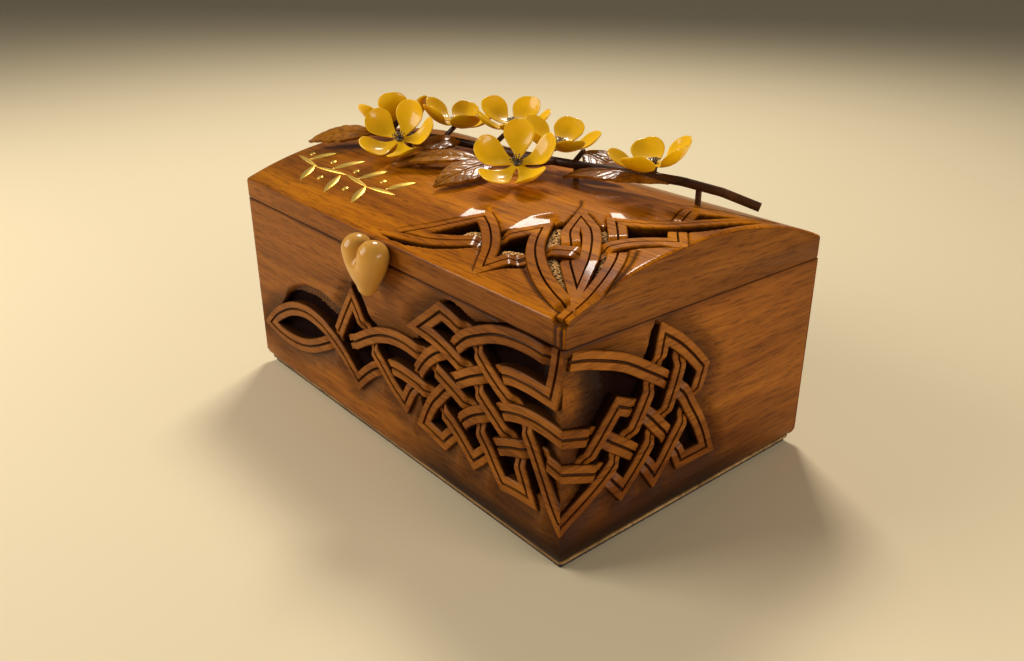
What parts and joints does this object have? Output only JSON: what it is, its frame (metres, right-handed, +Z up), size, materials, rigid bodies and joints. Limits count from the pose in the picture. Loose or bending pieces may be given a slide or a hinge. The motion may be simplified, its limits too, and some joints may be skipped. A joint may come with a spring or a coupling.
{
  "type": "keepsake box",
  "caption": "Carved wooden keepsake box with an arched hinged lid, heart-shaped pull, knotwork panels and a spray of yellow flowers on the lid.",
  "frame": {"origin": "centre of the underside of the base pad", "axes": "+X towards the right end, -Y towards the front with the heart knob, +Z up"},
  "size_m": [0.22, 0.1544, 0.1338],
  "materials": {
    "case_wood": "satin lacquer",
    "lid_wood": "gloss lacquer",
    "board_wood": "satin",
    "base_felt": "matt felt",
    "lining_velvet": "velvet",
    "heart_wood": "gloss lacquer",
    "petal_wood": "gloss lacquer",
    "leaf_wood": "gloss lacquer",
    "stem_wood": "satin",
    "stamen_wire": "darkened wire",
    "hinge_brass": "brushed"
  },
  "bodies": {
    "box": {"base_pad": "base_felt", "bottom_board": "board_wood", "front_wall": "case_wood", "back_wall": "case_wood", "left_wall": "case_wood", "right_wall": "case_wood", "lining_floor": "lining_velvet", "lining_front": "lining_velvet", "lining_back": "lining_velvet", "lining_left": "lining_velvet", "lining_right": "lining_velvet", "left_hinge_box_leaf": "hinge_brass", "left_hinge_pin": "hinge_brass", "right_hinge_box_leaf": "hinge_brass", "right_hinge_pin": "hinge_brass", "box_hinge_screws": "hinge_brass"},
    "lid": {"lid_shell": "lid_wood", "lid_lining": "lining_velvet", "heart_knob": "heart_wood", "main_stem": "stem_wood", "side_twigs": "stem_wood", "spray_pegs": "stem_wood", "left_hinge_lid_leaf": "hinge_brass", "right_hinge_lid_leaf": "hinge_brass", "lid_hinge_screws": "hinge_brass", "leaf_1": "leaf_wood", "leaf_2": "leaf_wood", "leaf_3": "leaf_wood", "leaf_4": "leaf_wood", "leaf_5": "leaf_wood", "leaf_6": "leaf_wood", "flower_1": "petal_wood", "flower_2": "petal_wood", "flower_3": "petal_wood", "flower_4": "petal_wood", "flower_5": "petal_wood", "flower_6": "petal_wood", "flower_7": "petal_wood", "flower_1_stamens": "stamen_wire", "flower_2_stamens": "stamen_wire", "flower_3_stamens": "stamen_wire", "flower_4_stamens": "stamen_wire", "flower_5_stamens": "stamen_wire", "flower_6_stamens": "stamen_wire", "flower_7_stamens": "stamen_wire"}
  },
  "joints": [
    {"name": "lid_hinge", "type": "hinge", "parent": "box", "child": "lid", "pos_m": [0, 0.0707, 0.0843], "axis": [-1, 0, 0], "range_deg": [0, 95]}
  ]
}
